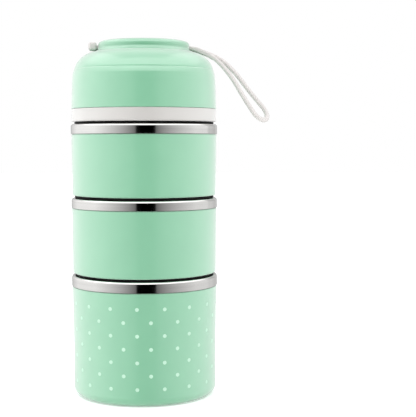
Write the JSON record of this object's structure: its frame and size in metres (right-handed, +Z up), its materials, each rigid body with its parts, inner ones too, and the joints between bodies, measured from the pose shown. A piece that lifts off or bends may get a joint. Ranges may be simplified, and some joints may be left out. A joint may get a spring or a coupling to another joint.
{
  "type": "tiffin carrier",
  "caption": "Round stacked tiffin carrier: steel bowls in plastic shells, lift-off tiers, domed lid with a knob and a silicone strap loop.",
  "frame": {"origin": "centre of the flat underside of the base pot, on the surface that the carrier stands on", "axes": "+Z up along the stack, +X towards the side where the strap's loop hangs, -Y towards the front"},
  "size_m": [0.1569, 0.115, 0.2784],
  "materials": {
    "mint_plastic": "smooth moulded, soft gloss",
    "white_plastic": "smooth moulded, soft gloss",
    "polished_steel": "polished rim, satin bowl",
    "screw_steel": "zinc plated",
    "black_silicone": "matte",
    "pale_silicone": "matte, slightly translucent"
  },
  "bodies": {
    "base": {"base_shell": "mint_plastic", "base_bowl": "polished_steel"},
    "middle_tier": {"middle_shell": "mint_plastic", "middle_bowl": "polished_steel", "middle_plug": "white_plastic", "middle_seal": "black_silicone"},
    "top_tier": {"top_shell": "mint_plastic", "top_bowl": "polished_steel", "top_plug": "white_plastic", "top_seal": "black_silicone"},
    "lid": {"inner_lid": "white_plastic", "lid_seal": "black_silicone", "lid_dome": "mint_plastic", "knob_cap": "mint_plastic", "knob_screw_front": "screw_steel", "knob_screw_back": "screw_steel", "strap_anchor": "pale_silicone"},
    "strap": {"strap_loop": "pale_silicone"}
  },
  "joints": [
    {"name": "middle_tier_lift", "type": "slide", "parent": "base", "child": "middle_tier", "axis": [0, 0, 1], "range_m": [0, 0.1]},
    {"name": "top_tier_lift", "type": "slide", "parent": "middle_tier", "child": "top_tier", "axis": [0, 0, 1], "range_m": [0, 0.1]},
    {"name": "lid_lift", "type": "slide", "parent": "top_tier", "child": "lid", "axis": [0, 0, 1], "range_m": [0, 0.1]},
    {"name": "strap_swing", "type": "hinge", "parent": "lid", "child": "strap", "pos_m": [0.0415, 0, 0.2724], "axis": [0, -1, 0], "range_deg": [0, 115]}
  ]
}
